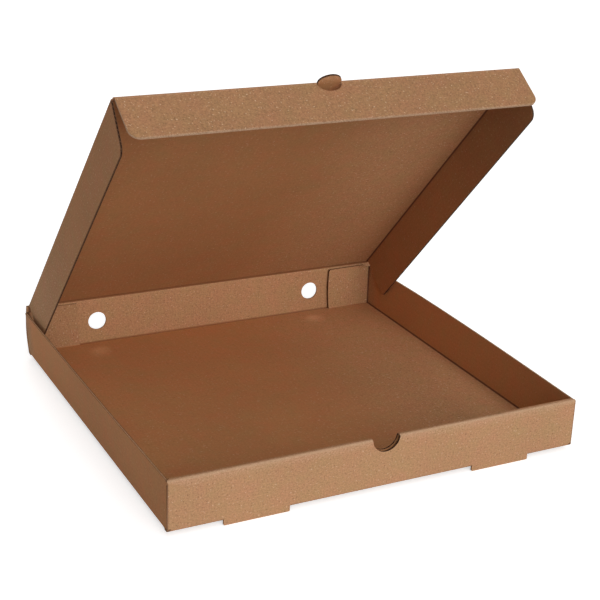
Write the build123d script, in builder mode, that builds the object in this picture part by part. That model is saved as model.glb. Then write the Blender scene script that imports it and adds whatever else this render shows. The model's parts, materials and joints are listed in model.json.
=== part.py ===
from build123d import *
from math import cos, radians, sin
import os

os.makedirs("parts", exist_ok=True)

# Corrugated pizza box folded from one die-cut sheet, with its lid half open.
# X runs along the front wall, Y from front to back, Z up. All sizes are in millimetres.
# The origin lies under the middle of the tray, at the height of the feet's lower ends.

# Board
board = 1.5  # thickness of the corrugated board
inner_fold_radius = 0.3  # inside radius of a crease
layer_play = 0.25  # gap between layers that lie folded against each other
crease_play = 0.1  # gap left at the mitres of a crease that moves

# Tray
tray_width = 330.0
tray_depth = 324.0
side_wall_height = 38.0  # from the underside of the base
front_rise = 0.7  # front wall above the side walls
lid_crease_rise = 5.2  # lid crease above the side walls
end_flap_length = 62.0  # side walls' flaps inside the front wall
roll_end_inset = 2.4  # roll-over strip's back corners from the box's sides
corner_flap_length = 44.0  # side walls' flaps inside the back wall
corner_flap_rise = 2.4  # corner flaps above the side walls
corner_flap_radius = 2.0  # free top corner of a corner flap
right_flap_standoff = 1.4  # free end of the right corner flap, off the back wall
left_flap_standoff = 0.4

# Openings in the tray
thumb_notch_radius = 11.1
vent_radius = 8.0
vent_height = 21.2  # centre of a vent above the underside of the base
vent_gap = 10.2  # rim of a vent from the free end of the corner flap beside it
slot_length = 49.8  # slots in the base for the inner front wall's locking tabs
slot_inset = 40.5  # from the box's side to the nearer end of a slot
tab_end_play = 0.75
tab_back_play = 0.2
tab_recess = 0.2  # locking tab short of the base's underside
foot_corner_radius = 1.0

# Lid
lid_open_angle = 46.4  # from closed
side_play = 0.3  # lid's side flaps to the inner faces of the side walls
front_flap_tuck = 6.4  # closed front flap behind the inner front wall
thumb_tongue_width = 20.0
thumb_tongue_length = 8.0
thumb_tongue_bulge = 1.3  # widest part of the tongue from the crease
tongue_cut_play = 0.4

# Lid flaps
front_flap_fold = 83.5  # from the plane of the lid
front_flap_floor_gap = 6.2  # closed front flap above the base
front_flap_end_play = 1.9  # front flap's ends to the inner faces of the side walls
front_flap_corner_radius = 8.0
side_flap_floor_gap = 2.2
side_flap_front_gap = 5.2  # side flap's free front corner from the lid's front crease
side_flap_corner_play = 0.65  # side flap's rear end to the corner flap of the tray
side_flap_rear_slant = 1.2  # height of the slant that leads round that corner flap
side_flap_front_radius = 7.0
side_flap_rear_radius = 3.0

# Sizes that follow
fold_radius = board + inner_fold_radius
half_width = tray_width / 2
front = -tray_depth / 2
back = tray_depth / 2
front_stack = 3 * board + 2 * layer_play  # outer wall, end flap and inner wall
inner_wall_front = front + front_stack - board
foot_height = front_stack - board + tab_back_play  # tongue that a slot frees
base_bottom = foot_height
base_top = base_bottom + board
side_top = base_bottom + side_wall_height
front_top = side_top + front_rise
crease_height = side_top + lid_crease_rise
side_front = front + board + layer_play  # outer face of the side walls' end flaps
side_back = back - board - layer_play  # and of their corner flaps
side_wall_front = side_front + 2 * fold_radius  # flat part of a side wall, from here
side_wall_back = side_back - 2 * fold_radius  # to here
lid_half = half_width - board - side_play  # outer faces of the lid's side flaps
panel_half = lid_half - board
lid_length = tray_depth - front_stack - front_flap_tuck
clear_height = crease_height - base_top
side_flap_depth = clear_height - side_flap_floor_gap
side_flap_rear_gap = back - side_back + board + side_flap_corner_play
front_flap_depth = clear_height - front_flap_floor_gap
front_flap_half = half_width - board - front_flap_end_play
slot_centre = half_width - slot_inset - slot_length / 2
vent_offset = half_width - corner_flap_length - vent_gap - vent_radius

# Directions in the lid: across, towards its front edge, and into the box
across = Vector(1, 0, 0)
lid_angle = radians(lid_open_angle)
along_lid = Vector(0, -cos(lid_angle), sin(lid_angle))
under_lid = Vector(0, -sin(lid_angle), -cos(lid_angle))
lid_crease = Vector(0, back, crease_height)
front_crease = lid_crease + along_lid * lid_length
flap_angle = radians(front_flap_fold)
along_front_flap = along_lid * cos(flap_angle) + under_lid * sin(flap_angle)


def folded_section(plane, outer_line):
    """Section of folded board: its outer line, with the thickness on the line's left."""
    with BuildSketch(plane) as section:
        with BuildLine():
            FilletPolyline(*outer_line, radius=fold_radius)
            offset(amount=board, side=Side.LEFT)
        make_face()
    return section.sketch


def side_sheet(corner_flap_standoff):
    """Right side wall: its fold into the base, its end flap and its corner flap."""
    with BuildPart() as sheet:
        wall_line = [
            (half_width - 4 * fold_radius, base_bottom),
            (half_width, base_bottom),
            (half_width, side_top),
        ]
        wall_section = folded_section(Plane.XZ.offset(-side_wall_back), wall_line)
        extrude(wall_section, amount=side_wall_back - side_wall_front)

        end_flap_line = [
            (half_width - end_flap_length, side_front),
            (half_width, side_front),
            (half_width, side_wall_front),
        ]
        corner_flap_line = [
            (half_width, side_wall_back),
            (half_width, side_back),
            (half_width - corner_flap_length, side_back - corner_flap_standoff),
        ]
        flap_plane = Plane.XY.offset(base_top + layer_play)
        end_flap_height = side_top - base_top - layer_play
        extrude(folded_section(flap_plane, end_flap_line), amount=end_flap_height)
        corner_flap_height = end_flap_height + corner_flap_rise
        extrude(folded_section(flap_plane, corner_flap_line), amount=corner_flap_height)

        # The end flap is cut lower, to pass under the roll-over strip.
        with BuildSketch(Plane.XY.offset(front_top - board - layer_play)):
            with Locations((half_width, front)):
                fold_depth = side_front + fold_radius - front
                Rectangle(end_flap_length, fold_depth, align=(Align.MAX, Align.MIN))
        extrude(amount=board + layer_play, mode=Mode.SUBTRACT)

        # The corner flap rises in a slant, clear of the lid's side flap as that folds in.
        with BuildSketch(Plane.XZ.offset(-side_back)):
            with BuildLine():
                slant_start = panel_half - fold_radius
                Polyline(
                    (slant_start, side_top),
                    (half_width, side_top),
                    (half_width, side_top + corner_flap_rise),
                    (slant_start - corner_flap_rise, side_top + corner_flap_rise),
                    close=True,
                )
            make_face()
        extrude(amount=4 * fold_radius, both=True, mode=Mode.SUBTRACT)
        flap_end = (
            half_width - corner_flap_length,
            side_back - corner_flap_standoff - board / 2,
            side_top + corner_flap_rise,
        )
        fillet(sheet.edges().sort_by_distance(flap_end)[0], radius=corner_flap_radius)
    return sheet.part


def thumb_outline(play):
    """Oval thumb cut on a crease along X, that much larger than the tongue all round."""
    with BuildSketch() as outline:
        with Locations((0, thumb_tongue_bulge)):
            oval_half_height = thumb_tongue_length - thumb_tongue_bulge
            Ellipse(thumb_tongue_width / 2 + play, oval_half_height + play)
    return outline.sketch


# Tray: outer front wall, base and back wall are one folded strip along X.
with BuildPart() as tray:
    base_line = [
        (front, front_top - fold_radius),
        (front, base_bottom),
        (back, base_bottom),
        (back, crease_height),
    ]
    extrude(folded_section(Plane.YZ.offset(-half_width), base_line), amount=tray_width)

    # Slots behind the front crease take the locking tabs.
    with BuildSketch(Plane.XY.offset(base_bottom)):
        with Locations((-slot_centre, front + board), (slot_centre, front + board)):
            Rectangle(slot_length, foot_height, align=(Align.CENTER, Align.MIN))
    extrude(amount=board + inner_fold_radius, mode=Mode.SUBTRACT)

    # The front wall rolls over and down inside.
    roll_line = [
        (front + front_stack, base_top + layer_play),
        (front + front_stack, front_top),
        (front, front_top),
        (front, front_top - 2 * fold_radius),
    ]
    extrude(folded_section(Plane.YZ.offset(-half_width), roll_line), amount=tray_width)

    # The strip's ends slant in, and the inner wall is cut narrower, to fit between the sides.
    inner_wall_half = half_width - roll_end_inset
    with BuildSketch(Plane.XY.offset(front_top - 2 * fold_radius)):
        with BuildLine():
            Polyline(
                (half_width, front + board / 2),
                (inner_wall_half, inner_wall_front),
                (half_width, inner_wall_front),
                close=True,
            )
        make_face()
        mirror(about=Plane.YZ)
    extrude(amount=2 * fold_radius, mode=Mode.SUBTRACT)
    with BuildSketch(Plane.XY.offset(base_top)):
        with Locations((half_width, inner_wall_front)):
            Rectangle(roll_end_inset, board, align=(Align.MAX, Align.MIN))
        mirror(about=Plane.YZ)
    extrude(amount=front_top - base_top, mode=Mode.SUBTRACT)

    # The base's side edges make way for the folds of the side walls.
    with BuildSketch(Plane.XY.offset(base_bottom)):
        with Locations((-half_width, 0), (half_width, 0)):
            Rectangle(2 * fold_radius, side_wall_back - side_wall_front)
    extrude(amount=board, mode=Mode.SUBTRACT)

    add(side_sheet(right_flap_standoff))
    mirror(side_sheet(left_flap_standoff), about=Plane.YZ)

    # The back wall's top is mitred for the lid crease.
    with BuildSketch(Plane.YZ.offset(-half_width)):
        with BuildLine():
            Polyline(
                (back, crease_height),
                (back - 2 * board, crease_height),
                (back - 2 * board, crease_height - 2 * board),
                close=True,
            )
        make_face()
    extrude(amount=tray_width, mode=Mode.SUBTRACT)

    # The tongue cut out of each slot stays in the plane of the outer wall, as a foot.
    with BuildSketch(Plane.XZ.offset(-front)) as feet:
        with Locations((-slot_centre, 0), (slot_centre, 0)):
            Rectangle(slot_length, foot_height + fold_radius, align=(Align.CENTER, Align.MIN))
        fillet(feet.vertices().group_by(Axis.Y)[0], radius=foot_corner_radius)
    extrude(amount=-board)

    # Locking tabs of the inner front wall stand in the slots.
    with BuildSketch(Plane.XZ.offset(-inner_wall_front)) as tabs:
        tab_bottom = base_bottom + tab_recess
        with Locations((-slot_centre, tab_bottom), (slot_centre, tab_bottom)):
            Rectangle(
                slot_length - 2 * tab_end_play,
                base_top + 2 * board - tab_bottom,
                align=(Align.CENTER, Align.MIN),
            )
        fillet(tabs.vertices().group_by(Axis.Y)[0], radius=foot_corner_radius)
    extrude(amount=-board)

    # Thumb notch through both layers of the front wall, and vents in the back wall.
    with BuildSketch(Plane.XZ.offset(-front)):
        with Locations((0, front_top)):
            Circle(thumb_notch_radius)
    extrude(amount=-2 * front_stack, both=True, mode=Mode.SUBTRACT)
    with BuildSketch(Plane.XZ.offset(-back)):
        vent_centre = base_bottom + vent_height
        with Locations((-vent_offset, vent_centre), (vent_offset, vent_centre)):
            Circle(vent_radius)
    extrude(amount=2 * board, both=True, mode=Mode.SUBTRACT)

tray.part.label = "tray"
export_step(tray.part, "parts/tray.step")


# Lid: a panel mitred at its back and front creases, rounded into its side flaps.
with BuildPart() as lid:
    panel_plane = Plane(lid_crease - across * panel_half, x_dir=along_lid, z_dir=across)
    with BuildSketch(panel_plane):
        with BuildLine():
            Polyline(
                (crease_play, 0),
                (lid_length, 0),
                (lid_length - board, board),
                (crease_play + board, board),
                close=True,
            )
        make_face()
    extrude(amount=2 * panel_half)

    # Rounded outer corner of each side crease, centred on the line where the flap turns.
    bead_start = lid_crease + along_lid * fold_radius
    with BuildSketch(Plane(bead_start, x_dir=across, z_dir=along_lid)) as beads:
        with BuildLine():
            Line((panel_half, 0), (panel_half, -board))
            Line((panel_half, -board), (lid_half, -board))
            RadiusArc((lid_half, -board), (panel_half, 0), -board)
        make_face()
        mirror(about=Plane.YZ)
    extrude(amount=lid_length - 2 * fold_radius)

    # Thumb tongue, left in the plane of the panel when the front flap is folded.
    with BuildSketch(Plane(front_crease, x_dir=across, z_dir=under_lid)):
        add(thumb_outline(0))
    extrude(amount=board)

lid.part.label = "lid"
export_step(lid.part, "parts/lid.step")


# Front flap: mitred at its crease, with rounded free corners and the thumb tongue's hole.
with BuildPart() as lid_front_flap:
    flap_normal = across.cross(along_front_flap)
    flap_plane = Plane(front_crease, x_dir=across, z_dir=flap_normal)
    with BuildSketch(flap_plane) as flap_outline:
        Rectangle(2 * front_flap_half, front_flap_depth, align=(Align.CENTER, Align.MIN))
        fillet(flap_outline.vertices().group_by(Axis.Y)[-1], radius=front_flap_corner_radius)
    extrude(amount=board)
    mitre_plane = Plane(front_crease, x_dir=along_front_flap, z_dir=across)
    with BuildSketch(mitre_plane):
        with BuildLine():
            Polyline(
                (crease_play, 0),
                (crease_play + 2 * board, 2 * board),
                (-board, 2 * board),
                (-board, 0),
                close=True,
            )
        make_face()
    extrude(amount=half_width, both=True, mode=Mode.SUBTRACT)
    with BuildSketch(flap_plane):
        add(thumb_outline(tongue_cut_play))
    extrude(amount=board, mode=Mode.SUBTRACT)

lid_front_flap.part.label = "lid_front_flap"
export_step(lid_front_flap.part, "parts/lid_front_flap.step")


def side_flap(side):
    """One side flap of the lid, side being 1 for the right and -1 for the left."""
    rear, fore = side_flap_rear_gap, lid_length - side_flap_front_gap
    free_rear = rear + right_flap_standoff
    slant_end = lid_crease_rise - board
    with BuildPart() as flap:
        plane = Plane(lid_crease + across * side * panel_half, x_dir=along_lid, z_dir=across)
        with BuildSketch(plane) as outline:
            with BuildLine():
                Polyline(
                    (fold_radius, board),
                    (fold_radius, slant_end - side_flap_rear_slant),
                    (rear, slant_end),
                    (free_rear, side_flap_depth),
                    (fore, side_flap_depth),
                    (lid_length - fold_radius, board),
                    close=True,
                )
            make_face()
            rear_corner = outline.vertices().sort_by_distance((free_rear, side_flap_depth))[0]
            fillet(rear_corner, radius=side_flap_rear_radius)
            fore_corner = outline.vertices().sort_by_distance((fore, side_flap_depth))[0]
            fillet(fore_corner, radius=side_flap_front_radius)
        extrude(amount=side * board)
    return flap.part


with BuildPart() as lid_left_flap:
    add(side_flap(-1))
lid_left_flap.part.label = "lid_left_flap"
export_step(lid_left_flap.part, "parts/lid_left_flap.step")

with BuildPart() as lid_right_flap:
    add(side_flap(1))
lid_right_flap.part.label = "lid_right_flap"
export_step(lid_right_flap.part, "parts/lid_right_flap.step")
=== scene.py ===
import json
import math

import bmesh
import bpy
from mathutils import Matrix, Vector
from mathutils.bvhtree import BVHTree


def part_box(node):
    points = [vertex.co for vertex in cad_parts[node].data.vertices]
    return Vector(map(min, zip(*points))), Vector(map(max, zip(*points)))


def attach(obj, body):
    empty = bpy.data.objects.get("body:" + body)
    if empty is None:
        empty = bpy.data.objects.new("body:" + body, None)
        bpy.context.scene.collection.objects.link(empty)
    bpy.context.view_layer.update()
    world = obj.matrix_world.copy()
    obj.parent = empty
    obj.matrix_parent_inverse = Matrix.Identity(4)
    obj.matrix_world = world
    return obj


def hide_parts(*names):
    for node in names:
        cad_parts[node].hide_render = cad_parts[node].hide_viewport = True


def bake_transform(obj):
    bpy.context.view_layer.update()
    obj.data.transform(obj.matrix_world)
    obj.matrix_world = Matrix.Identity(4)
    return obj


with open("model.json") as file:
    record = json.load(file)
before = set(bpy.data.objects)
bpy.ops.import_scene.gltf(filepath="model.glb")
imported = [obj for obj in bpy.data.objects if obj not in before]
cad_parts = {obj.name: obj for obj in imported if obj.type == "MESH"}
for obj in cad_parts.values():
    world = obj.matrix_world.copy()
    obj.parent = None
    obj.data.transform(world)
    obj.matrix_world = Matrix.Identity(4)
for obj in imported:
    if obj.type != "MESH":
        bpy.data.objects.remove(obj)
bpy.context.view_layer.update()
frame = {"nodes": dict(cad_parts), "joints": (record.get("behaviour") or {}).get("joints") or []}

MM = 0.001
PER_MM = 1 / MM

# Corrugated board, in metres: two liners and a wavy middle sheet between them.
BOARD = 1.5 * MM
LINER = 0.27 * MM
FLUTE_PITCH = 3.4 * MM
FLUTE_REACH = BOARD / 2 - LINER - 0.1 * MM  # crest of the middle sheet above the board's middle
SHEET_HALF = 0.09 * MM  # half the middle sheet's thickness
GROOVE_DEPTH = 1.2 * MM  # how far a cut edge lets one look in between the liners
SHEET_RECESS = 0.1 * MM  # middle sheet behind the cut
WAVE_STEPS = 8  # samples of one wave along a cut
STRAIGHT_STEP = 4 * MM  # samples along a cut that runs with the flutes

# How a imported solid's faces are read.
MITRE_REACH = 2.3 * MM  # a fold's mitre face has board behind it nearer than this, a cut has not
LINER_REACH = 1.05 * BOARD  # a liner has the other liner behind it nearer than this
RAY_START = 0.01 * MM  # how far inside a face the look through the board starts
SQUARE = 0.95  # cosine of two faces that count as parallel
STEEP = 0.7  # cosine of a face that looks along an axis
SHORTEST_RIM = 0.02 * MM  # a shorter edge stays closed
SHARPEST_CORNER = 0.6  # keeps the step inward short where two cuts meet in a narrow corner
WELD = 1e-6  # points nearer than this are one
SLICE_TOLERANCE = 1e-7
SHARP_ANGLE = math.radians(32)  # faces that meet at more than this keep a sharp edge

# Places that the joints and the nodes' boxes give.
joints = {j["name"]: j for j in frame["joints"]}
ACROSS = Vector((1, 0, 0))
BACKWARD = Vector((0, 1, 0))
UP = Vector((0, 0, 1))
LID_CREASE = Vector(joints["lid_hinge"]["pos_m"])
FRONT_CREASE = Vector(joints["front_flap_hinge"]["pos_m"])
ALONG_LID = (FRONT_CREASE - LID_CREASE).normalized()
UNDER_LID = ACROSS.cross(ALONG_LID)
LID_ANGLE = math.asin(ALONG_LID.z)
LID_LENGTH = (FRONT_CREASE - LID_CREASE).length
CREASE_HEIGHT = LID_CREASE.z
PANEL_HALF = joints["right_flap_hinge"]["pos_m"][0]
TRAY_LOW, TRAY_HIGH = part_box("tray")
FRONT = TRAY_LOW.y
BACK = TRAY_HIGH.y
HALF_WIDTH = TRAY_HIGH.x

# Places that only the part's source knows.
BASE_TOP = 5.2 * MM
FRONT_TOP = 42.4 * MM
WALL_HEIGHT = CREASE_HEIGHT - BASE_TOP
FLAP_TURN = math.radians(83.5)  # from the lid's plane to the front flap
ALONG_FRONT_FLAP = Matrix.Rotation(FLAP_TURN, 3, ACROSS) @ ALONG_LID
FRONT_FLAP_DEPTH = 35.5 * MM
SIDE_FLAP_DEPTH = 38 * MM
TONGUE_REACH = 15 * MM  # the thumb tongue lies within this of the middle
END_FLAP_LAYER = (1.6 * MM, 3.4 * MM)  # of the front wall, from its outside
CORNER_FLAP_LAYER = (1.6 * MM, 6 * MM)  # of the back wall, from its outside
FOLDED_FLAP_LENGTH = 70 * MM  # the end and corner flaps lie within this of the box's side
HAIR = 0.1 * MM  # a place is on a surface when it is nearer to it than this


def clamped(value):
    return min(max(value, 0.0), 1.0)


def ramp(value, start, end):
    """0 at the start, 1 at the end, smooth between them and held outside."""
    part = clamped((value - start) / (end - start))
    return part * part * (3 - 2 * part)


class Graph:
    """The nodes of a material or a world; each call adds a node and hands back its output."""

    def __init__(self, owner):
        owner.use_nodes = True
        self.tree = owner.node_tree

    def put(self, socket, value):
        if isinstance(value, bpy.types.NodeSocket):
            self.tree.links.new(value, socket)
        else:
            socket.default_value = value

    def node(self, kind, *values, **settings):
        made = self.tree.nodes.new(kind)
        for key, value in settings.items():
            setattr(made, key, value)
        for socket, value in zip(made.inputs, values):
            self.put(socket, value)
        return made

    def attribute(self, name, kind):
        return self.node("ShaderNodeAttribute", attribute_name=name).outputs[kind]

    def sum(self, a, b):
        return self.node("ShaderNodeMath", a, b, operation="ADD").outputs[0]

    def times(self, a, b):
        return self.node("ShaderNodeMath", a, b, operation="MULTIPLY").outputs[0]

    def larger(self, a, b):
        return self.node("ShaderNodeMath", a, b, operation="MAXIMUM").outputs[0]

    def wave(self, phase):
        return self.node("ShaderNodeMath", phase, operation="SINE").outputs[0]

    def brightened(self, colour, factor):
        made = self.node("ShaderNodeVectorMath", colour, operation="SCALE")
        self.put(made.inputs["Scale"], factor)
        return made.outputs[0]

    def noise(self, place, grain_mm, detail=2.0, rough=0.5, offset=(0.0, 0.0, 0.0)):
        """Noise whose grains have these three sizes in mm."""
        scales = [PER_MM / size for size in grain_mm]
        scaled = self.node("ShaderNodeVectorMath", place, scales, operation="MULTIPLY").outputs[0]
        shifted = self.node("ShaderNodeVectorMath", scaled, offset, operation="ADD").outputs[0]
        made = self.node("ShaderNodeTexNoise")
        self.put(made.inputs["Vector"], shifted)
        self.put(made.inputs["Scale"], 1.0)
        self.put(made.inputs["Detail"], detail)
        self.put(made.inputs["Roughness"], rough)
        return made.outputs[0]

    def between(self, value, low, high, start=0.0, end=1.0):
        """The value carried from low..high to start..end, and held there outside."""
        return self.node("ShaderNodeMapRange", value, low, high, start, end).outputs[0]

    def mixed(self, factor, a, b):
        made = self.node("ShaderNodeMix", data_type="RGBA")
        self.put(made.inputs[0], factor)
        self.put(made.inputs[6], a)
        self.put(made.inputs[7], b)
        return made.outputs[2]

    def seen_ray(self):
        """1 for what the camera sees, straight, in gloss or through glass, and 0 for light on things."""
        path = self.node("ShaderNodeLightPath").outputs
        direct = self.larger(path["Is Camera Ray"], path["Is Glossy Ray"])
        return self.larger(direct, path["Is Transmission Ray"])


# Kraft colours, linear. A pair is the outer paper and the inner paper, which is darker and redder, partly as
# the inner liner's own tone and partly as painted shade and red bounce light inside the box.
RED_KRAFT = ((0.480, 0.244, 0.130, 1), (0.459, 0.185, 0.0745, 1))
OLIVE_KRAFT = ((0.440, 0.257, 0.124, 1), (0.416, 0.200, 0.077, 1))
DARK_SPECK = (0.16, 0.075, 0.035, 1)
LIGHT_SPECK = (0.70, 0.51, 0.35, 1)
# near-black brown of darkened folds: paper darkened by pressing, with painted shade in the crease
PRESSED_AND_SHADED_KRAFT = (0.085, 0.022, 0.010, 1)
WORN_KRAFT = (0.58, 0.39, 0.26, 1)
WHITE = (1, 1, 1, 1)
GRAIN = 0.22  # how much the grain lightens and darkens the paper
WASHBOARD = 0.012  # the same for the flutes that show through the liner


def kraft_liner():
    """Brown kraft paper: fibres, clouds, specks, a faint washboard of the flutes, and darkened and worn
    folds.

    The mesh gives each place in the flat sheet; tint, 0 on outer paper to 1 on inner, which also paints
    shade and a grey sheen; shade, how much darker it is, as painted shade, and painted light where it is
    below 0;
    and fold, 1 on a line darkened by pressing and painted shade and -1 on a worn one."""
    material = bpy.data.materials.new("kraft_liner")
    g = Graph(material)
    sheet = g.attribute("sheet", "Vector")
    tint = g.attribute("tint", "Fac")
    shade = g.attribute("shade", "Fac")
    fold = g.attribute("fold", "Fac")
    flute_phase = g.node("ShaderNodeSeparateXYZ", sheet).outputs[0]
    washboard = g.wave(g.times(flute_phase, 2 * math.pi / FLUTE_PITCH))
    fibres = g.noise(sheet, (3.2, 0.9, 9), detail=3.0, rough=0.6)
    grain = g.noise(sheet, (1.2, 1.2, 1.2), rough=0.6)
    mottle = g.noise(sheet, (15, 15, 15), detail=3.0, rough=0.6)
    cloud = g.noise(sheet, (80, 80, 80), offset=(3.1, 7.7, 1.3))
    specks = g.noise(sheet, (1.5, 1.5, 1.5), detail=1.0, offset=(40.0, 9.0, 17.0))

    # tint picks outer against inner kraft, which also paints shade and a grey sheen
    colour = g.mixed(g.between(mottle, 0.3, 0.7), g.mixed(tint, *OLIVE_KRAFT), g.mixed(tint, *RED_KRAFT))
    calm = g.between(tint, 0.3, 1.0, 1.0, 0.4)  # the inner paper is less speckled
    # shade darkens the paper as painted shade, and below 0 lightens it as painted light
    light = g.sum(g.times(shade, -1.0), g.between(fibres, 0.25, 0.75, 0.93, 1.07))
    light = g.sum(light, g.times(g.between(grain, 0.25, 0.75, -GRAIN, GRAIN), calm))
    light = g.sum(light, g.between(cloud, 0.3, 0.7, -0.04, 0.04))
    light = g.sum(light, g.times(washboard, WASHBOARD))
    colour = g.brightened(colour, light)
    dark_specks = g.times(g.between(specks, 0.66, 0.72, 0, 0.55), calm)
    light_specks = g.times(g.between(specks, 0.33, 0.27, 0, 0.6), calm)
    colour = g.mixed(dark_specks, colour, DARK_SPECK)
    colour = g.mixed(light_specks, colour, LIGHT_SPECK)
    # folds darken towards near-black: paper darkened by pressing, with painted shade in the crease
    pressed_and_shaded = g.between(fold, 0.0, 1.0, 0, 0.85)
    colour = g.mixed(pressed_and_shaded, colour, PRESSED_AND_SHADED_KRAFT)
    worn = g.times(g.between(fold, 0.0, -1.0), g.between(grain, 0.42, 0.62, 0.15, 0.75))
    colour = g.mixed(worn, colour, WORN_KRAFT)

    bump = g.node("ShaderNodeBump")
    g.put(bump.inputs["Strength"], 0.5)
    g.put(bump.inputs["Distance"], 0.06 * MM)
    height = g.sum(g.times(washboard, 0.25), g.sum(g.times(fibres, 0.9), g.times(grain, 0.7)))
    g.put(bump.inputs["Height"], height)
    shader = g.tree.nodes["Principled BSDF"]
    g.put(shader.inputs["Base Color"], colour)
    g.put(shader.inputs["Roughness"], g.between(fibres, 0.3, 0.7, 0.78, 0.92))
    g.put(shader.inputs["Specular IOR Level"], 0.25)
    g.put(shader.inputs["Normal"], bump.outputs[0])
    return material


def cut_paper(name, dark, pale):
    """Paper seen on its cut, ragged between two tones."""
    material = bpy.data.materials.new(name)
    g = Graph(material)
    place = g.node("ShaderNodeTexCoord").outputs["Object"]
    ragged = g.noise(place, (0.8, 0.8, 0.8), rough=0.6)
    shader = g.tree.nodes["Principled BSDF"]
    g.put(shader.inputs["Base Color"], g.mixed(g.between(ragged, 0.35, 0.65), dark, pale))
    g.put(shader.inputs["Roughness"], 0.95)
    g.put(shader.inputs["Specular IOR Level"], 0.15)
    return material


MATERIALS = (
    kraft_liner(),
    cut_paper("kraft_cut_liner", (0.08, 0.038, 0.020, 1), (0.18, 0.095, 0.055, 1)),
    # near-black walls and floor of the groove between the liners: painted shade in the recess
    cut_paper("kraft_between_liners_painted_shade", (0.022, 0.008, 0.004, 1), (0.045, 0.018, 0.009, 1)),
    cut_paper("kraft_middle_sheet", (0.10, 0.045, 0.022, 1), (0.22, 0.11, 0.06, 1)),
)
LIP_SLOT, GROOVE_SLOT, SHEET_SLOT = 1, 2, 3  # slot 0 is the liner's
# pale cut edge: crushed paper, with painted light on a downward-facing lip and groove
CRUSHED_AND_LIT_EDGE = cut_paper("kraft_crushed_and_lit_edge", (0.42, 0.25, 0.15, 1), (0.62, 0.43, 0.29, 1))


def sort_faces(bm, may_be_cut):
    """Faces of the two liners, and faces where the board was cut through, told by what lies straight in."""
    tree = BVHTree.FromBMesh(bm)
    liners, cuts = set(), set()
    for face in bm.faces:
        centre, normal = face.calc_center_median(), face.normal
        _, behind, _, reach = tree.ray_cast(centre - normal * RAY_START, -normal, MITRE_REACH)
        if reach is None:
            if may_be_cut(centre):
                cuts.add(face)
        elif reach < LINER_REACH and abs(behind.dot(normal)) > SQUARE:
            liners.add(face)
    return liners, cuts


def spread(seed, allowed):
    """Every face of a set that can be reached from one face over shared edges."""
    reached, front = {seed}, [seed]
    while front:
        for edge in front.pop().edges:
            for other in edge.link_faces:
                if other in allowed and other not in reached:
                    reached.add(other)
                    front.append(other)
    return reached


def find_rims(liners, cuts):
    """Every edge of a liner along a cut: its two ends, the way through the board and the way in."""
    rims = []
    for face in sorted(liners, key=lambda f: f.index):
        for loop in face.loops:
            beside = [f for f in loop.edge.link_faces if f in cuts]
            if beside and loop.edge.calc_length() > SHORTEST_RIM:
                through, inward = -face.normal, -beside[0].normal
                inward = (inward - through * inward.dot(through)).normalized()
                rims.append((loop.vert, loop.link_loop_next.vert, through, inward))
    return rims


def corner_offsets(rims):
    """For each corner between two rims, the step inward that is one unit deep from both."""
    ways = {}
    for start, end, _, inward in rims:
        ways.setdefault(start, []).append(inward)
        ways.setdefault(end, []).append(inward)
    offsets = {}
    for vert, inwards in ways.items():
        mean = sum(inwards, Vector()).normalized()
        offsets[vert] = mean / max(mean.dot(inwards[0]), SHARPEST_CORNER)
    return offsets, {vert for vert, inwards in ways.items() if len(inwards) == 1}


def open_rim(bm, rim, offsets, ends):
    """Half of a cut edge, seen from one liner: the liner's lip, the groove's wall and half of its floor."""
    start, end, through, _ = rim
    columns = []
    for vert in (start, end):
        deep = offsets[vert] * GROOVE_DEPTH
        lip, middle = through * LINER, through * BOARD / 2
        places = (lip, lip + deep, middle + deep, middle)
        columns.append([vert] + [bm.verts.new(vert.co + place) for place in places])
    here, there = columns
    for k, slot in enumerate((LIP_SLOT, GROOVE_SLOT, GROOVE_SLOT)):
        bm.faces.new((there[k], here[k], here[k + 1], there[k + 1])).material_index = slot
    if start in ends:
        bm.faces.new((here[1], here[4], here[3], here[2])).material_index = GROOVE_SLOT
    if end in ends:
        bm.faces.new((there[1], there[2], there[3], there[4])).material_index = GROOVE_SLOT


def across_flutes(flutes, through):
    """The way across the flutes in the board's plane, with a sign that doesn't depend on the side."""
    crossways = flutes.cross(through).normalized()
    return crossways if tuple(crossways) > (0, 0, 0) else -crossways


def add_middle_sheet(bm, rim, offsets, flutes_at):
    """The wavy middle sheet along one cut edge: its two skins and the edge between them."""
    start, end, through, _ = rim
    crossways = across_flutes(flutes_at((start.co + end.co) / 2, through), through)
    along = end.co - start.co
    waves = abs(along.dot(crossways)) / FLUTE_PITCH
    steps = max(1, math.ceil(waves * WAVE_STEPS), math.ceil(along.length / STRAIGHT_STEP))
    rows = []
    for k in range(steps + 1):
        middle = start.co.lerp(end.co, k / steps) + through * BOARD / 2
        deeper = offsets[start].lerp(offsets[end], k / steps)
        row = []
        for side, depth in ((-1, GROOVE_DEPTH), (-1, SHEET_RECESS), (1, SHEET_RECESS), (1, GROOVE_DEPTH)):
            point = middle + deeper * depth
            phase = 2 * math.pi * point.dot(crossways) / FLUTE_PITCH
            height = FLUTE_REACH * math.sin(phase) + side * SHEET_HALF
            row.append(bm.verts.new(point + through * height))
        rows.append(row)
    for here, there in zip(rows, rows[1:]):
        for k in range(3):
            bm.faces.new((here[k], here[k + 1], there[k + 1], there[k])).material_index = SHEET_SLOT


def slice_up(bm, axis, places):
    """Cuts faces at planes across an axis, so that a smooth displacement can bend them."""
    for place in places:
        geometry = bm.verts[:] + bm.edges[:] + bm.faces[:]
        bmesh.ops.bisect_plane(
            bm, geom=geometry, dist=SLICE_TOLERANCE, plane_co=axis * place, plane_no=axis,
        )


def spaced(bm, axis, step):
    """Evenly spaced places along an axis, over the whole mesh."""
    reach = [v.co.dot(axis) for v in bm.verts]
    first, last = math.ceil(min(reach) / step), math.floor(max(reach) / step)
    return [k * step for k in range(first, last + 1)]


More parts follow.
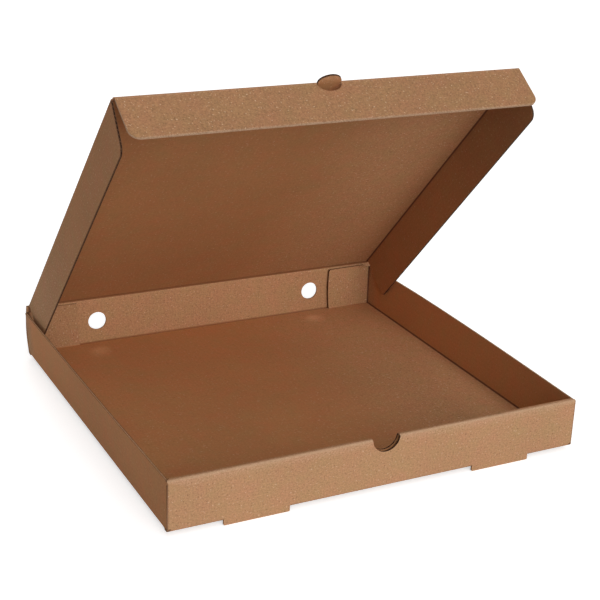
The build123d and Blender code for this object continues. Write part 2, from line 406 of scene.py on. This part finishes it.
def open_cut_edges(bm, outside, flutes_at, may_be_cut, paper_and_shading_at):
    """Gives the liners their paper and its painted light and shade, and shows them and the sheet between
    where the board was cut.
    """
    tint = bm.loops.layers.float.new("tint")
    shade = bm.loops.layers.float.new("shade")
    liners, cuts = sort_faces(bm, may_be_cut)
    outermost = max(liners, key=lambda f: (round(f.normal.dot(outside), 3), f.calc_area()))
    outer = spread(outermost, liners)
    for face in liners:
        for loop in face.loops:
            loop[tint], loop[shade] = paper_and_shading_at(loop.vert.co, face in outer)
    rims = find_rims(liners, cuts)
    outer_rims = find_rims(outer, cuts)
    offsets, ends = corner_offsets(rims)
    for rim in rims:
        open_rim(bm, rim, offsets, ends)
    for rim in outer_rims:
        add_middle_sheet(bm, rim, offsets, flutes_at)
    opened = set()
    for start, end, _, _ in rims:
        opened.update(edge for edge in start.link_edges if edge.other_vert(start) is end)
    touched = [f for f in cuts if any(edge in opened for edge in f.edges)]
    bmesh.ops.delete(bm, geom=touched, context="FACES")


def lay_paper(bm, flutes_at, fold_at):
    """Gives every face's corners their place in the flat sheet, and every point its fold."""
    sheet = bm.loops.layers.float_vector.new("sheet")
    fold = bm.verts.layers.float.new("fold")
    bm.normal_update()
    for face in bm.faces:
        flutes = flutes_at(face.calc_center_median(), face.normal)
        crossways = across_flutes(flutes, face.normal)
        for loop in face.loops:
            place = loop.vert.co
            loop[sheet] = (place.dot(crossways), place.dot(flutes), place.dot(face.normal))
    for vert in bm.verts:
        vert[fold] = fold_at(vert.co)


def finish_piece(bm, name):
    """Turns the mesh into an object made of board."""
    mesh = bpy.data.meshes.new(name)
    bm.to_mesh(mesh)
    bm.free()
    for made in MATERIALS:
        mesh.materials.append(made)
    mesh.shade_smooth()
    mesh.set_sharp_from_angle(angle=SHARP_ANGLE)
    piece = bpy.data.objects.new(name, mesh)
    bpy.context.scene.collection.objects.link(piece)
    return piece


def board_piece(name, node, outside, flutes_at, may_be_cut, paper_and_shading_at, cuts_across, fold_at, shape):
    """A piece of board that stands for a CAD node, with open cut edges and a hand-folded shape."""
    bm = bmesh.new()
    bm.from_mesh(frame["nodes"][node].data)
    bmesh.ops.remove_doubles(bm, verts=bm.verts[:], dist=WELD)
    for axis, step, places in cuts_across:
        slice_up(bm, axis, spaced(bm, axis, step) + list(places))
    bm.normal_update()
    bm.faces.index_update()
    open_cut_edges(bm, outside, flutes_at, may_be_cut, paper_and_shading_at)
    bmesh.ops.remove_doubles(bm, verts=[v for v in bm.verts if v.is_boundary], dist=WELD)
    lay_paper(bm, flutes_at, fold_at)
    for vert in bm.verts:
        vert.co += shape(vert.co)
    bm.normal_update()
    piece = finish_piece(bm, name)
    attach(piece, node)
    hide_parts(node)
    return piece


# Flutes run from front to back in the flat sheet, so a folded panel carries them round its folds.
def tray_flutes(point, through):
    way = through.normalized()
    if abs(way.z) > STEEP or abs(way.x) > STEEP:
        return BACKWARD
    in_end_flap = END_FLAP_LAYER[0] < point.y - FRONT < END_FLAP_LAYER[1]
    in_corner_flap = CORNER_FLAP_LAYER[0] < BACK - point.y < CORNER_FLAP_LAYER[1]
    if (in_end_flap or in_corner_flap) and abs(point.x) > HALF_WIDTH - FOLDED_FLAP_LENGTH:
        return ACROSS
    return UP


def lid_flutes(point, through):
    return ALONG_LID


def front_flap_flutes(point, through):
    return ALONG_FRONT_FLAP


# Which of the faces that look like cuts are cuts.
def anywhere(point):
    return True


def on_tongue(point):
    return abs(point.x) < TONGUE_REACH


def off_side_crease(point):
    return (point - LID_CREASE).dot(UNDER_LID) > BOARD + HAIR


# How the box was folded by hand: its walls lean a little, and its lid is a little askew.
LEFT_WALL_LEAN = 3.0 * MM  # top of the left wall at the back, outward
LEFT_WALL_BOW = 0.9 * MM
RIGHT_WALL_LEAN = 4.6 * MM
RIGHT_WALL_RETURN = 1.15  # how much the back corner takes off that lean
RIGHT_WALL_BOW = 2.4 * MM
BACK_SHIFT = 0.8 * MM  # back wall's top and the lid's back, to the left
BACK_BOW = 1.2 * MM  # middle of the back wall's height, to the left
BACK_END_STRETCH = 1.8 * MM  # back wall's right end, to the right
BACK_END = (30 * MM, 2 * MM)  # from the box's side, where that stretch starts and is whole
WALL_FADE = (16 * MM, 4 * MM)  # from the box's side, where a side wall's lean starts and is whole
CORNER_FLAP_ZONE = 8 * MM  # before the back wall's outside, where the corner flaps go with it
LID_TWIST = 0.9 * MM  # front corners of the lid, up on the right and down on the left
FLAP_FLARE = 0.2 * MM  # side flaps' free edges, outward
FLAP_SHIFT = 0.8 * MM  # front flap at its crease, to the right
FLAP_SLANT = 1.2 * MM  # and how much more at its free edge
TONGUE_SHIFT = 1.7 * MM  # thumb tongue and its hole, to the left
TONGUE_NARROWER = 0.06  # share of its width
TONGUE_LIFT = math.tan(math.radians(7))  # the tongue bends up out of the lid's plane
THUMB_CUT_ACROSS = (40 * MM, 12 * MM)  # where the move of the thumb cut starts and is whole
THUMB_CUT_ALONG = (18 * MM, 8 * MM)
BESIDE_HOLE = (14 * MM, 54 * MM)  # where the front flap's own move starts and is whole
FLAP_SHORTENED = 60 * MM  # length over which a side flap's front end gets shorter


def tray_shape(co):
    """Leans and bows the side walls, and takes the back wall and the corner flaps along to the left."""
    rise = clamped((co.z - BASE_TOP) / WALL_HEIGHT)
    behind = clamped((co.y - FRONT) / (BACK - FRONT))
    back_shift = -BACK_SHIFT * rise - BACK_BOW * math.sin(math.pi * rise)
    if co.y > BACK - CORNER_FLAP_LAYER[0]:
        stretch = BACK_END_STRETCH * ramp(HALF_WIDTH - co.x, *BACK_END)
        return ACROSS * (back_shift + stretch * rise)
    if co.x > 0:
        wall_shift = RIGHT_WALL_LEAN * behind * (1 - RIGHT_WALL_RETURN * behind ** 8) * rise
        wall_shift += RIGHT_WALL_BOW * math.sin(math.pi * behind) * rise
    else:
        wall_shift = -(LEFT_WALL_LEAN * behind + LEFT_WALL_BOW * math.sin(math.pi * behind)) * rise
    start, whole = WALL_FADE
    on_wall = clamped((abs(co.x) - HALF_WIDTH + start) / (start - whole))
    on_corner_flap = 1 if co.y > BACK - CORNER_FLAP_ZONE else 0
    return ACROSS * (wall_shift * on_wall + back_shift * on_corner_flap * (1 - on_wall))


def lid_place(co):
    """A point's distance from the back crease, its depth under the lid, and its way forward, 0 to 1."""
    away = co - LID_CREASE
    return away.dot(ALONG_LID), away.dot(UNDER_LID), clamped(away.dot(ALONG_LID) / LID_LENGTH)


def lid_skew(co):
    """Follows the back wall's shift at the crease, and twists the lid towards its front."""
    _, depth, forward = lid_place(co)
    sideways = -BACK_SHIFT * (1 - forward) * clamped(1 - (depth - BOARD) / WALL_HEIGHT)
    return ACROSS * sideways - UNDER_LID * (LID_TWIST * forward * co.x / PANEL_HALF)


def thumb_cut_shift(co, beyond):
    """Moves the thumb tongue and its hole, and fades out over the board around them."""
    fade = ramp(abs(co.x), *THUMB_CUT_ACROSS) * ramp(abs(beyond), *THUMB_CUT_ALONG)
    return ACROSS * (-TONGUE_SHIFT - TONGUE_NARROWER * co.x) * fade


def lid_shape(co):
    beyond = lid_place(co)[0] - LID_LENGTH
    lift = -UNDER_LID * max(beyond, 0) * TONGUE_LIFT
    return lid_skew(co) + thumb_cut_shift(co, beyond) + lift


def front_flap_shape(co):
    depth = (co - FRONT_CREASE).dot(ALONG_FRONT_FLAP)
    shift = FLAP_SHIFT + FLAP_SLANT * depth / FRONT_FLAP_DEPTH
    return lid_skew(co) + thumb_cut_shift(co, depth) + ACROSS * shift * ramp(abs(co.x), *BESIDE_HOLE)


def side_flap_shape(side, deeper, shorter):
    """The flap's free edge flares out a little, hangs deeper, and its front end is shorter there."""
    def shape(co):
        along, depth, _ = lid_place(co)
        down = clamped((depth - BOARD) / SIDE_FLAP_DEPTH)
        slant = shorter * ramp(along, LID_LENGTH - FLAP_SHORTENED, LID_LENGTH)
        return lid_skew(co) + (ACROSS * side * FLAP_FLARE + UNDER_LID * deeper - ALONG_LID * slant) * down
    return shape


# Where the paper is darkened along a fold by pressing and painted shade, 0 to 1, and where it is worn pale,
# down to -1.
PRESSED_AND_SHADED_BAND = 1.1 * MM  # reach beside a fold's corner line
END_BAND = 0.8 * MM  # narrower, at the front wall's two ends
WORN_BAND = 2.2 * MM
BAND_CORE, BAND_EDGE = 0.35, 1.35  # where a band starts to fade and where it ends, in its own widths
FAINT, MEDIUM, STRONG = 0.4, 0.6, 0.8  # darkened lines, by pressing and painted shade, against 1 in the corners beside the side walls
CORNER_FLAP_GAP = 0.25 * MM  # between the corner flaps and the back wall
# painted shade in a patch inside the left wall's back corner
PAINTED_CORNER_SHADE = 0.9  # patch inside the left wall's back corner, and its reach across, forward and up
DARK_ACROSS = 5 * MM
DARK_FORWARD = 6 * MM
DARK_RISE = (22 * MM, 30 * MM)
LID_EDGE = 2 * MM  # the side creases' pressed line goes round the panel's side this far in


def near(*distances, band=PRESSED_AND_SHADED_BAND):
    """1 at a fold's corner line and 0 beyond its band, from the distances to the planes that meet there."""
    return clamped(BAND_EDGE - max(abs(d) for d in distances) / band)


def tray_fold(co):
    """Darkens the tray along its inside corners and round the corner flaps, as paper darkened by pressing
    with painted shade in the corners, and paints shade in a patch inside the left wall's back corner. It
    also darkens a faint line along the side walls' outer foot and a line at the front wall's ends, and is
    worn along the front wall's top."""
    from_side = HALF_WIDTH - BOARD - abs(co.x)
    from_base = co.z - BASE_TOP
    from_back = BACK - BOARD - co.y
    pressed_and_shaded = near(from_side, from_base)
    pressed_and_shaded = max(pressed_and_shaded, near(from_side, from_back - BOARD - CORNER_FLAP_GAP) * (from_base > 0))
    pressed_and_shaded = max(pressed_and_shaded, MEDIUM * near(from_back, from_base))
    # painted shade inside the left wall's back corner
    inside_left_wall = BOARD - HAIR < co.x + HALF_WIDTH < DARK_ACROSS
    if inside_left_wall and HAIR - BOARD < from_back < DARK_FORWARD:
        pressed_and_shaded = max(pressed_and_shaded, PAINTED_CORNER_SHADE * ramp(from_base, *DARK_RISE))
    if from_side < HAIR - BOARD:
        pressed_and_shaded = max(pressed_and_shaded, FAINT * near(from_base + BOARD))
    if co.y < FRONT + HAIR:
        pressed_and_shaded = max(pressed_and_shaded, MEDIUM * near(from_side + BOARD, band=END_BAND))
    worn = near(co.y - FRONT, co.z - FRONT_TOP, band=WORN_BAND)
    return pressed_and_shaded if pressed_and_shaded > 0 else -worn


def lid_fold(co):
    """The lid's underside is darkened along its four creases, and so are the side flaps: paper darkened by
    pressing, with painted shade in the creases.
    """
    along, depth, _ = lid_place(co)
    at_underside = depth - BOARD
    pressed_and_shaded = near(PANEL_HALF - abs(co.x), at_underside)
    pressed_and_shaded = max(pressed_and_shaded, STRONG * near(along - BOARD, at_underside))
    if not on_tongue(co):
        pressed_and_shaded = max(pressed_and_shaded, STRONG * near(LID_LENGTH - BOARD - along, at_underside))
    return pressed_and_shaded if abs(co.x) > PANEL_HALF - LID_EDGE or abs(at_underside) < HAIR else 0.0


def front_flap_fold(co):
    """The flap is darkened faintly along its crease, by pressing with painted shade, and worn along its free
    edge.
    """
    depth = (co - FRONT_CREASE).dot(ALONG_FRONT_FLAP)
    return FAINT * near(depth) if depth < FRONT_FLAP_DEPTH / 2 else -STRONG * near(FRONT_FLAP_DEPTH - depth)


# The paper's tint, 0 as outer kraft to 1 as inner kraft, and how much darker it is. Both change from panel
# to panel and slowly over a panel, and most of that is painted light and shade: shaded faces darker and
# redder, lit faces paler, and a painted grey sheen where the tint drops towards the right.
OUTER_PAPER = (0.0, 0.0)
INNER_PAPER = (1.0, 0.0)
# painted shade on the front wall's top-facing roll-over strip
ROLL_OVER_PAINTED_SHADE = (0.6, 0.1)
# painted light: the left wall's outside, lighter and redder
LEFT_WALL_PAINTED_LIGHT = (0.3, -0.1)
# painted light on the right wall's shaded inside face
RIGHT_WALL_PAINTED_LIGHT = (1.0, -0.2)
# painted light: the lit inside of the back wall, paler and less red than shaded inside faces
BACK_WALL_PAINTED_LIGHT = (0.25, 0.0)
# painted shade on the left corner flap
LEFT_CORNER_FLAP_PAINTED_SHADE = (0.25, 0.1)
LID_TOP_PAPER = (0.5, 0.0)
TONGUE_PAPER = (0.3, -0.08)
# painted shade on the front flap's outside
FRONT_FLAP_PAINTED_SHADE = (0.35, 0.21)
# painted shade on the right flap's outside
RIGHT_FLAP_PAINTED_SHADE = (0.5, 0.1)
# painted shade on the left flap's outside, darker towards the front
LEFT_FLAP_PAINTED_SHADES = ((0.2, 0.05), (0.8, 0.15))  # at the back and at the front
# painted shadow on the right flap's inside, darker towards the front, where the front flap shades it
RIGHT_FLAP_PAINTED_SHADOW = ((1.0, 0.08), (1.0, 0.33))
# painted shade on the lid's underside, and a painted grey sheen towards the right
LID_PAINTED_SHADE_AND_SHEEN = ((1.0, 0.12), (0.55, 0.06))  # left of the middle and at the right
# painted grey sheen on the tray's floor, towards the right
FLOOR_PAINTED_SHEEN = ((1.0, 0.0), (0.55, 0.0))
# painted light on the tray's floor towards the back
FLOOR_PAINTED_LIGHT = 0.16  # how much lighter the tray's floor is at the back
TO_RIGHT = (0, 110 * MM)  # where the change to the right starts and is whole
TO_BACK = (-20 * MM, 130 * MM)
CORNER_FLAP_LENGTH = 60 * MM
WALL_REACH = 3 * MM  # a point of a side wall is nearer to the box's side than this
WALL_FOOT = 0.5 * MM  # and further above the base


def mixed_paper_and_shading(papers, share):
    """A paper and its painted light and shade, between two."""
    (tint, shade), (last_tint, last_shade) = papers
    return tint + (last_tint - tint) * share, shade + (last_shade - shade) * share


# the tray's paper, with painted light and shade from part to part
def tray_paper_and_shading(co, outer):
    if outer and co.x < HAIR - HALF_WIDTH:
        return LEFT_WALL_PAINTED_LIGHT
    if outer:
        return ROLL_OVER_PAINTED_SHADE if co.z > FRONT_TOP - HAIR else OUTER_PAPER
    above_base = co.z > BASE_TOP + WALL_FOOT
    if above_base and co.y > BACK - CORNER_FLAP_LAYER[1]:
        on_left = co.x < CORNER_FLAP_LENGTH - HALF_WIDTH and co.y < BACK - CORNER_FLAP_LAYER[0]
        return LEFT_CORNER_FLAP_PAINTED_SHADE if on_left else BACK_WALL_PAINTED_LIGHT
    if above_base and co.x > HALF_WIDTH - WALL_REACH:
        return RIGHT_WALL_PAINTED_LIGHT
    # the floor gets a painted grey sheen to the right and painted light to the back
    tint, shade = mixed_paper_and_shading(FLOOR_PAINTED_SHEEN, ramp(co.x, *TO_RIGHT))
    return tint, shade - FLOOR_PAINTED_LIGHT * ramp(co.y, *TO_BACK)


# the lid's paper; its underside has painted shade and a painted grey sheen to the right
def lid_paper_and_shading(co, outer):
    if outer:
        return LID_TOP_PAPER
    if lid_place(co)[0] > LID_LENGTH:
        return TONGUE_PAPER
    return mixed_paper_and_shading(LID_PAINTED_SHADE_AND_SHEEN, ramp(co.x, *TO_RIGHT))


# the front flap's paper, with painted shade on its outside
def front_flap_paper_and_shading(co, outer):
    return FRONT_FLAP_PAINTED_SHADE if outer else INNER_PAPER


# the left flap's paper, with painted shade on its outside, darker towards the front
def left_flap_paper_and_shading(co, outer):
    if not outer:
        return INNER_PAPER
    return mixed_paper_and_shading(LEFT_FLAP_PAINTED_SHADES, ramp(lid_place(co)[2], 0, 0.625))


# the right flap's paper, with painted shade outside and a painted shadow inside, darker towards the front
def right_flap_paper_and_shading(co, outer):
    if outer:
        return RIGHT_FLAP_PAINTED_SHADE
    return mixed_paper_and_shading(RIGHT_FLAP_PAINTED_SHADOW, ramp(lid_place(co)[2], 0.35, 0.95))


def crease_places(*corners, band=PRESSED_AND_SHADED_BAND):
    """Places to slice at beside each corner, so that the pressed line has its own points."""
    parts = (-BAND_CORE, -BAND_EDGE, BAND_CORE, BAND_EDGE)
    return [corner + part * band for corner in corners for part in parts]


# Steps at which the boards are sliced, so that they can bend.
GRID = 20 * MM
FLAP_GRID = 8 * MM
WALL_GRID = 7 * MM
LID_START = LID_CREASE.dot(ALONG_LID)
LID_LEVEL = LID_CREASE.dot(UNDER_LID)
FLAP_START = FRONT_CREASE.dot(ALONG_FRONT_FLAP)
SIDE_PLACES = crease_places(HALF_WIDTH - BOARD, BOARD - HALF_WIDTH)
SIDE_PLACES += crease_places(HALF_WIDTH, -HALF_WIDTH, band=END_BAND)
LID_END_PLACES = crease_places(LID_START + BOARD, LID_START + LID_LENGTH - BOARD)

board_piece(
    "tray_board", "tray", -UP, tray_flutes, anywhere, tray_paper_and_shading,
    [
        (ACROSS, GRID, SIDE_PLACES),
        (BACKWARD, GRID, crease_places(BACK - BOARD)),
        (UP, WALL_GRID, crease_places(BASE_TOP, BASE_TOP - BOARD)),
    ],
    tray_fold, tray_shape,
)
board_piece(
    "lid_board", "lid", -UNDER_LID, lid_flutes, on_tongue, lid_paper_and_shading,
    [
        (ACROSS, GRID, crease_places(PANEL_HALF, -PANEL_HALF)),
        (ALONG_LID, GRID, LID_END_PLACES),
    ],
    lid_fold, lid_shape,
)
front_flap = board_piece(
    "front_flap_board", "lid_front_flap", ALONG_FRONT_FLAP.cross(ACROSS), front_flap_flutes, anywhere,
    front_flap_paper_and_shading,
    [
        (ACROSS, FLAP_GRID, []),
        (ALONG_FRONT_FLAP, FLAP_GRID, crease_places(FLAP_START, FLAP_START + FRONT_FLAP_DEPTH)),
    ],
    front_flap_fold, front_flap_shape,
)
# the front flap's lip, groove and middle sheet get the pale edge: crushed paper, with painted light on them
for slot in (LIP_SLOT, GROOVE_SLOT, SHEET_SLOT):
    front_flap.data.materials[slot] = CRUSHED_AND_LIT_EDGE

# Side, word, paper and its painted shading, how much deeper it hangs, and how much shorter its front end is
# at the free edge.
SIDE_FLAPS = (
    (-1, "left", left_flap_paper_and_shading, -2.4 * MM, 4.0 * MM),
    (1, "right", right_flap_paper_and_shading, 1.1 * MM, 0.0),
)
for side, word, paper, deeper, shorter in SIDE_FLAPS:
    board_piece(
        f"{word}_flap_board", f"lid_{word}_flap", ACROSS * side, lid_flutes, off_side_crease, paper,
        [
            (ALONG_LID, GRID, []),
            (UNDER_LID, FLAP_GRID, crease_places(LID_LEVEL + BOARD)),
        ],
        lid_fold, side_flap_shape(side, deeper, shorter),
    )


# Skins of paper over the four creases that move.
SKIN = 0.15 * MM  # its thickness
SKIN_STEPS = 10
SKIN_GRID = 10 * MM
SKIN_LAP = math.radians(14)  # how far the skin over a side crease laps onto each board
SKIN_LIFT = 0.04 * MM  # and how far it lies off them
INNER_CORNER = math.sqrt(2) * BOARD  # from a crease's outer line to the mitred board's inner line
CREASE_END = 2.5 * MM  # bare end of a side crease
THUMB_CUT_HALF = 10.6 * MM  # the front crease stops on either side of the thumb cut


def evenly(start, end):
    count = max(1, round(abs(end - start) / SKIN_GRID))
    return [start + (end - start) * k / count for k in range(count + 1)]


def fold_skin(name, joint, radius, spoke, angles, stretches, tint_value, fold_value, shape):
    """A thin skin of paper round a crease, from one board's edge to the other's.

    The spoke is turned about the joint's axis through the two angles; the stretches lie along that axis."""
    pivot = Vector(joints[joint]["pos_m"])
    axis = Vector(joints[joint]["axis"]).normalized()
    first, last = angles
    step = (last - first) / SKIN_STEPS
    turns = [Matrix.Rotation(first + step * k, 3, axis) for k in range(SKIN_STEPS + 1)]
    bm = bmesh.new()
    for stretch in stretches:
        rows = []
        for place in stretch:
            foot = pivot + axis * place
            outside = [foot + turn @ spoke * radius for turn in turns]
            inside = [foot + turn @ spoke * (radius - SKIN) for turn in reversed(turns)]
            rows.append([bm.verts.new(point) for point in outside + inside])
        count = len(rows[0])
        for here, there in zip(rows, rows[1:]):
            for k in range(count):
                after = (k + 1) % count
                bm.faces.new((here[k], here[after], there[after], there[k]))
        bm.faces.new(rows[0][::-1])
        bm.faces.new(rows[-1])
    bmesh.ops.recalc_face_normals(bm, faces=bm.faces[:])
    tint = bm.loops.layers.float.new("tint")
    for face in bm.faces:
        for loop in face.loops:
            loop[tint] = tint_value
    lay_paper(bm, lid_flutes, lambda co: fold_value)
    for vert in bm.verts:
        vert.co += shape(vert.co)
    bm.normal_update()
    piece = finish_piece(bm, name)
    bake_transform(piece)


# The back and front creases' insides are darkened by fold_value: paper darkened by pressing, with painted
# shade in the crease. The side creases get a fainter line on their outside.
fold_skin(
    "lid_crease", "lid_hinge",
    radius=INNER_CORNER, spoke=-(UP + BACKWARD).normalized(), angles=(0, LID_ANGLE),
    stretches=[evenly(-PANEL_HALF - BOARD, PANEL_HALF + BOARD)],
    tint_value=1.0, fold_value=0.6, shape=lid_shape,
)
fold_skin(
    "front_crease", "front_flap_hinge",
    radius=INNER_CORNER, spoke=(UNDER_LID - ALONG_LID).normalized(),
    angles=(0, FLAP_TURN - math.radians(90)),
    stretches=[evenly(-PANEL_HALF, -THUMB_CUT_HALF), evenly(THUMB_CUT_HALF, PANEL_HALF)],
    tint_value=1.0, fold_value=0.6, shape=lid_shape,
)
for side, word in ((-1, "left"), (1, "right")):
    fold_skin(
        f"{word}_crease", f"{word}_flap_hinge",
        radius=BOARD + SKIN_LIFT, spoke=ACROSS * side, angles=(-SKIN_LAP, SKIN_LAP),
        stretches=[evenly(-side * CREASE_END, -side * (LID_LENGTH - CREASE_END))],
        tint_value=0.0, fold_value=0.35, shape=lid_skew,
    )


# Floor, light and camera.
FLOOR_HALF = 12.0
FLOOR_LIFT = 0.62  # brings the open floor up to white for the camera, and leaves the shadow on it
AZIMUTH, ELEVATION, ROLL = math.radians(-28.629), math.radians(21.047), math.radians(2.750)
CAMERA_PLACE = Vector((-457.14, -911.72, 480.94)) * MM
IMAGE_PX = 600
FOCAL_PX = 1384.5
CENTRE_PX = (334.0, 301.0)
SENSOR_WIDTH = 36
WORLD_LIGHT = 0.25

# Name, way to the light, strength, and how wide it looks in degrees.
SUNS = (
    ("front_light", (0.0, -1.0, 0.3), 1.52, 40),
    ("top_light", (0.1, -0.7, 0.9), 0.76, 60),
    ("back_light", (0.16, 0.75, 0.72), 0.5, 20),
)


def add_floor():
    mesh = bpy.data.meshes.new("floor")
    corners = [(x * FLOOR_HALF, y * FLOOR_HALF, 0) for x, y in ((-1, -1), (1, -1), (1, 1), (-1, 1))]
    mesh.from_pydata(corners, [], [(0, 1, 2, 3)])
    floor = bpy.data.objects.new("floor", mesh)
    bpy.context.scene.collection.objects.link(floor)
    material = bpy.data.materials.new("floor_white")
    g = Graph(material)
    matt = g.tree.nodes["Principled BSDF"]
    g.put(matt.inputs["Base Color"], (0.8, 0.8, 0.8, 1))
    g.put(matt.inputs["Roughness"], 1.0)
    g.put(matt.inputs["Specular IOR Level"], 0.0)
    glow = g.node("ShaderNodeEmission", WHITE, FLOOR_LIFT)
    lifted = g.node("ShaderNodeAddShader", matt.outputs[0], glow.outputs[0])
    shown = g.node("ShaderNodeMixShader", g.seen_ray(), matt.outputs[0], lifted.outputs[0])
    g.put(g.tree.nodes["Material Output"].inputs["Surface"], shown.outputs[0])
    mesh.materials.append(material)


def add_camera():
    back = Vector((
        math.sin(AZIMUTH) * math.cos(ELEVATION),
        -math.cos(AZIMUTH) * math.cos(ELEVATION),
        math.sin(ELEVATION),
    ))
    right = UP.cross(back).normalized()
    up = back.cross(right)
    rolled_right = right * math.cos(ROLL) + up * math.sin(ROLL)
    rolled_up = up * math.cos(ROLL) - right * math.sin(ROLL)
    data = bpy.data.cameras.new("camera")
    data.sensor_width = SENSOR_WIDTH
    data.lens = FOCAL_PX / IMAGE_PX * SENSOR_WIDTH
    data.shift_x = (IMAGE_PX / 2 - CENTRE_PX[0]) / IMAGE_PX
    data.shift_y = (CENTRE_PX[1] - IMAGE_PX / 2) / IMAGE_PX
    data.clip_start = 0.05
    data.clip_end = 50
    camera = bpy.data.objects.new("camera", data)
    turn = Matrix((rolled_right, rolled_up, back)).transposed().to_4x4()
    camera.matrix_world = Matrix.Translation(CAMERA_PLACE) @ turn
    bpy.context.scene.collection.objects.link(camera)
    bpy.context.scene.camera = camera


def add_sun(name, direction, strength, width):
    data = bpy.data.lights.new(name, "SUN")
    data.energy = strength
    data.angle = math.radians(width)
    lamp = bpy.data.objects.new(name, data)
    lamp.rotation_mode = "QUATERNION"
    lamp.rotation_quaternion = (-Vector(direction)).to_track_quat("-Z", "Y")
    bpy.context.scene.collection.objects.link(lamp)


def add_world():
    """A dim white world for light, which looks white itself."""
    world = bpy.data.worlds.new("studio")
    bpy.context.scene.world = world
    g = Graph(world)
    light = g.tree.nodes["Background"]
    g.put(light.inputs["Color"], WHITE)
    g.put(light.inputs["Strength"], WORLD_LIGHT)
    white = g.node("ShaderNodeBackground", WHITE, 1.0)
    shown = g.node("ShaderNodeMixShader", g.seen_ray(), light.outputs[0], white.outputs[0])
    g.put(g.tree.nodes["World Output"].inputs["Surface"], shown.outputs[0])


add_floor()
add_camera()
add_world()
for sun in SUNS:
    add_sun(*sun)
bpy.context.scene.view_settings.view_transform = "Standard"
